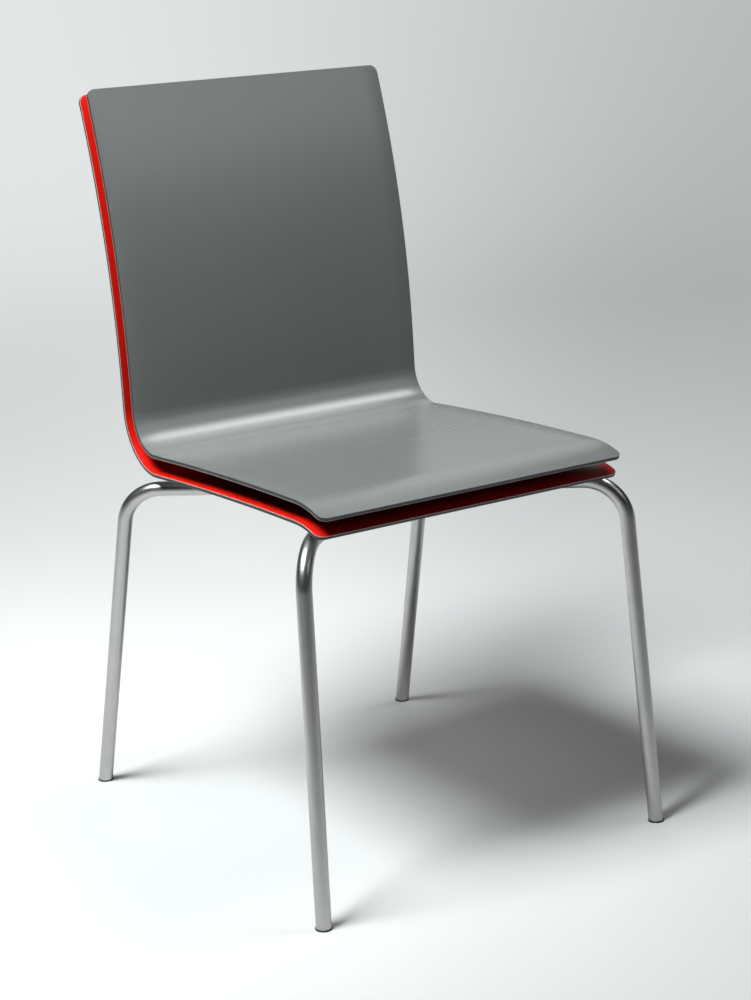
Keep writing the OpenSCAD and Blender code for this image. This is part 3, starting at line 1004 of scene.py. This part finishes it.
def make_saddle_pads(shell_above):
    """Moulded pads, cupped over the tubes and cut to the curve of the rear shell."""
    low = TUBE_RADIUS - SADDLE_WRAP
    high = TUBE_RADIUS + 2 * SADDLE_HEIGHT
    soft = 0.0006
    groove = 0.0005
    groove_levels = (0.0030, 0.0060, 0.0090)
    outline = [(SEAT_HOLE, low), (SADDLE_RADIUS - soft, low), (SADDLE_RADIUS, low + soft)]
    for level in groove_levels:
        centre = TUBE_RADIUS + level
        outline += [(SADDLE_RADIUS, centre - groove), (SADDLE_RADIUS - groove, centre)]
        outline += [(SADDLE_RADIUS, centre + groove)]
    outline += [(SADDLE_RADIUS, high), (SEAT_HOLE, high)]
    for side, end in CORNERS:
        pad = turned(corner_name(side, end, "pad"), outline, 72, fixing_matrix(side, end))
        near = FIXING_REACH - 2 * SADDLE_RADIUS
        far = FIXING_REACH + 2 * SADDLE_RADIUS
        tube = rod(TUBE_RADIUS, near, far, run_matrix(side, end), 72)
        cut(pad, tube)
        cut(pad, shell_above)
        pad.data.materials.append(black_nylon)
        settled(pad)
        discard(tube)
        stands_for(pad, "black_nylon", corner_name(side, end, "saddle_pad"))


def boss_outline(radius, thread, base, top):
    """A waisted boss, bored from its base for an insert and the tip of its screw."""
    insert_wall = 0.00125
    insert = thread / 2 + insert_wall
    insert_end = base + THREAD_HOLD + 0.001
    tip_end = insert_end + 0.0015
    collar = 0.003
    waist = 0.0008
    waist_ease = 0.0010
    middle = (base + top) / 2
    outline = [(0, tip_end), (thread / 2, tip_end), (thread / 2, insert_end), (insert, insert_end)]
    outline += [(insert, base - OVERRUN), (radius, base - OVERRUN), (radius, base + collar)]
    outline += rounded(radius + waist_ease, middle, waist_ease + waist, 240, 120, 8)
    return outline + [(radius, top - collar), (radius, top + OVERRUN), (0, top + OVERRUN)]


def make_bosses(gap_block):
    """Bosses that hold the two shells apart."""
    for side, end in CORNERS:
        node = corner_name(side, end, "seat_boss")
        low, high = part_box(node)
        lift = (low.z + high.z) / 2 - (fixing_matrix(side, end) @ Vector((0, 0, 0))).z
        base = lift - SHELL_GAP / 2
        outline = boss_outline(SEAT_BOSS_RADIUS, SEAT_SCREW, base, base + SHELL_GAP)
        boss = turned(corner_name(side, end, "spacer"), outline, 72, fixing_matrix(side, end))
        cut(boss, gap_block, "INTERSECT")
        boss.data.materials.append(black_nylon)
        stands_for(settled(boss), "black_nylon", node)
    for side in (LEFT, RIGHT):
        outline = boss_outline(BACK_BOSS_RADIUS, BACK_SCREW, SHELL_THICKNESS, REAR_TOP)
        matrix = back_fixing_matrix(side)
        boss = turned(SIDE_NAMES[side] + "_back_spacer", outline, 72, matrix)
        cut(boss, gap_block, "INTERSECT")
        boss.data.materials.append(black_nylon)
        stands_for(settled(boss), "black_nylon", SIDE_NAMES[side] + "_back_boss")


shell_above = block("shell_above", 0, REAR_BOTTOM)
gap_block = block("gap_block", SHELL_THICKNESS, REAR_TOP)
make_saddle_pads(shell_above)
make_bosses(gap_block)

# ---- Screws and washers ----


def button_screw(name, thread, length):
    """A button-head screw with a hexagon socket; its shank starts at local 0."""
    dome = thread * 1.015
    dome_centre = thread * 0.4375
    head_radius = thread * 0.875
    head_ease = 0.0003
    head_angle = acos(sqrt(dome**2 - head_radius**2) / dome)
    steps = 10
    outline = [(0, dome_centre - dome)]
    for k in range(1, steps + 1):
        turn = head_angle * k / steps
        outline.append((dome * sin(turn), dome_centre - dome * cos(turn)))
    outline += [(head_radius, -head_ease), (head_radius - head_ease, 0), (thread / 2, 0)]
    pitch = thread / 6
    depth = pitch / 2
    ridge = length - THREAD_HOLD - 0.002
    while ridge + pitch < length - 0.0008:
        outline += [(thread / 2, ridge), (thread / 2 - depth, ridge + pitch / 2)]
        ridge += pitch
    outline += [(thread / 2, ridge), (thread / 2 - depth, length - 0.0004)]
    outline += [(thread / 2 - 2 * depth, length), (0, length)]
    screw = turned(name, outline, 48)
    key = thread * 0.385
    hexagon = [(0, -thread), (key, -thread), (key, -thread * 0.22), (0, -thread * 0.12)]
    socket = turned("socket", hexagon, 6)
    cut(screw, socket)
    settled(screw)
    discard(socket)
    return screw


def washer(name, radius, hole, low, high, ease):
    """A flat ring with rolled rims."""
    outline = rounded(radius - ease, low + ease, ease, -90, 0, 3)
    outline += rounded(radius - ease, high - ease, ease, 0, 90, 3)
    outline += [(hole, high), (hole, low)]
    return turned(name, outline, 64)


def make_fasteners():
    pattern = pattern_tree()
    seat_places = {"Across": 2, "Along": 2, "Width": 2 * FIXING_X, "Depth": 2 * FIXING_Y}
    seat_places.update({"Outward": 1.0, "Tilt": -SEAT_SLOPE, "Centre": FRAME_CENTRE})
    seat_places["Finish"] = zinc
    below = -TUBE_RADIUS - WASHER_THICKNESS
    screw_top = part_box("seat_screws")[1].z - fixing_matrix(LEFT, FRONT).translation.z
    tip_room = 0.0005
    screw = button_screw("seat_screw_set", SEAT_SCREW, screw_top - below - tip_room)
    screw.data.transform(Matrix.Translation((0, 0, below)))
    screws = pattern.run(screw, **seat_places)
    stands_for(screws, "zinc_steel", "seat_screws")

    high = -TUBE_RADIUS / 2
    ring = washer("saddle_washer_set", WASHER_RADIUS, SEAT_HOLE, below, high, 0.0004)
    along = Matrix.Rotation(pi / 2, 4, "Y")
    tube = rod(TUBE_RADIUS, -WASHER_RADIUS * 2, WASHER_RADIUS * 2, along, 72)
    cut(ring, tube)
    settled(ring)
    discard(tube)
    stands_for(pattern.run(ring, **seat_places), "zinc_steel", "saddle_washers")

    origin = back_fixing_matrix(LEFT) @ Vector((BACK_BOSS_X, 0, 0))
    tilt = profile_at(BACK_FIXING)[2]
    back_places = {"Across": 2, "Along": 1, "Width": 2 * BACK_BOSS_X, "Depth": 0.0}
    back_places.update({"Outward": 0.0, "Tilt": tilt, "Centre": origin, "Finish": zinc})
    length = BACK_WASHER_THICKNESS + SHELL_THICKNESS + THREAD_HOLD
    screw = button_screw("back_screw_set", BACK_SCREW, length)
    screw.data.transform(Matrix.Translation((0, 0, -BACK_WASHER_THICKNESS)))
    stands_for(pattern.run(screw, **back_places), "zinc_steel", "back_screws")
    back_places["Finish"] = black_nylon
    low = -BACK_WASHER_THICKNESS
    ring = washer("back_washer_set", BACK_WASHER_RADIUS, BACK_HOLE, low, 0, 0.0003)
    stands_for(pattern.run(ring, **back_places), "black_nylon", "back_washers")


make_fasteners()

for node in ("seat_inserts", "back_inserts"):
    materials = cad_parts[node].data.materials
    materials.clear()
    materials.append(brass)

discard(profile, drill, shell_above, gap_block)

# ---- Floor, light and camera ----

FLOOR_SIZE = 60.0
CAMERA_PLACE = Vector((-1.3077, -2.0840, 1.0371))
CAMERA_HEADING = radians(32.631)
CAMERA_FALL = radians(15.109)
CAMERA_ROLL = radians(-2.412)
CAMERA_LENS = 79.06
KEY_POWER = 28
WORLD_LIGHT = 0.012
WORLD_SEEN = 0.55


def studio_direction(right, back, up=0.0):
    """A place in the studio: metres to the camera's right, away from it, and up."""
    heading = CAMERA_HEADING
    across = Vector((cos(heading), -sin(heading), 0))
    away = Vector((sin(heading), cos(heading), 0))
    return across * right + away * back + Vector((0, 0, up))


def pale_floor():
    """A plain pale floor that gives off painted light, rising away from the chair. The painted
    light is stronger behind the chair than in front, and at the left than at the right."""
    finish = Finish("pale_floor", Roughness=0.6, IOR=1.4)
    place = finish.where()
    dust = finish.noise(place, 3, detail=4)
    base = finish.mix(dust, grey(0.59), grey(0.61))
    # Emission: painted light given off by the floor, its strength worked out below
    finish.shader.inputs["Emission Color"].default_value = (0.97, 1.0, 1.0, 1)
    distance = finish.measure("LENGTH", place)
    right = finish.measure("DOT_PRODUCT", place, studio_direction(1, 0))
    sideways = finish.maths("DIVIDE", right, distance)
    fade = {"Value": sideways, "From Min": -0.2, "From Max": 0.28, "To Min": 0.79, "To Max": 0.47}
    level = finish.node("MapRange", fade, interpolation_type="SMOOTHSTEP").outputs[0]
    beyond = finish.remap(distance, 0.35, 15.35, 0, -10)
    rise = finish.maths("SUBTRACT", 1.0, finish.maths("EXPONENT", beyond))
    back = finish.measure("DOT_PRODUCT", place, studio_direction(0, 1))
    behind = finish.remap(finish.maths("DIVIDE", back, distance), -0.3, 0.6, 0.5, 1)
    # Strength of the painted light: none near the chair, more to the left and behind
    painted_floor_light = finish.maths("MULTIPLY", finish.maths("MULTIPLY", rise, level), behind)
    return finish.set(Base_Color=base, Emission_Strength=painted_floor_light)


def make_floor():
    bm = bmesh.new()
    bmesh.ops.create_grid(bm, x_segments=8, y_segments=8, size=FLOOR_SIZE / 2)
    floor = object_from_bmesh("studio_floor", bm)
    floor.data.materials.append(pale_floor())


def softbox(name, place, target, width, height, power, spread, colour=(1, 1, 1)):
    """A soft panel of light that the camera doesn't see, aimed at a target."""
    light = bpy.data.lights.new(name, "AREA")
    light.shape = "RECTANGLE"
    light.size = width
    light.size_y = height
    light.energy = power
    light.spread = spread
    light.color = colour
    lamp = object_from(name, light)
    aim = (Vector(target) - Vector(place)).to_track_quat("-Z", "Y")
    lamp.matrix_world = Matrix.Translation(place) @ aim.to_matrix().to_4x4()
    lamp.visible_camera = False


def make_camera():
    heading, fall, roll = CAMERA_HEADING, CAMERA_FALL, CAMERA_ROLL
    forward = Vector((sin(heading) * cos(fall), cos(heading) * cos(fall), -sin(fall)))
    level = Vector((cos(heading), -sin(heading), 0))
    upright = level.cross(forward)
    right = level * cos(roll) + upright * sin(roll)
    up = upright * cos(roll) - level * sin(roll)
    data = bpy.data.cameras.new("camera")
    data.lens = CAMERA_LENS
    data.sensor_width = 36
    camera = object_from("camera", data)
    turn = Matrix((right, up, -forward)).transposed().to_4x4()
    camera.matrix_world = Matrix.Translation(CAMERA_PLACE) @ turn
    bpy.context.scene.camera = camera


def make_lights():
    """A key from high on the left front, and cards that the satin faces mirror."""
    chair = Vector((0, 0, 0.45))
    key_place = studio_direction(-1.08, -0.82, 2.75)
    key_target = studio_direction(-0.1, 0.2)
    cool = (0.95, 1.0, 1.0)
    softbox("key", key_place, key_target, 1.1, 1.1, KEY_POWER, radians(72), cool)
    bend_place = studio_direction(0.72, 0.25, 2.2)
    bend_target = studio_direction(-0.35, 0, 0.45)
    softbox("bend_card", bend_place, bend_target, 1.2, 1.2, 2.3, radians(40))
    softbox("back_card", studio_direction(0.25, 3.0, 2.3), chair, 1.6, 3.4, 2.4, radians(70))
    softbox("right_card", studio_direction(2.35, -1.1, 2.0), chair, 1.6, 0.8, 1.0, radians(90))


def make_world():
    """A dim studio round the chair, with a pale wall where it is looked at directly."""
    world = bpy.data.worlds.new("studio")
    bpy.context.scene.world = world
    world.use_nodes = True
    tree = world.node_tree
    background = tree.nodes["Background"]
    background.inputs["Color"].default_value = (0.97, 0.99, 1.0, 1)
    seen = tree.nodes.new("ShaderNodeLightPath").outputs["Is Camera Ray"]
    inputs = {"Value": seen, "To Min": WORLD_LIGHT, "To Max": WORLD_SEEN}
    level = add_node(tree, "ShaderNodeMapRange", inputs, {})
    tree.links.new(level.outputs[0], background.inputs["Strength"])


make_floor()
make_camera()
make_lights()
make_world()
bpy.context.scene.view_settings.view_transform = "Standard"
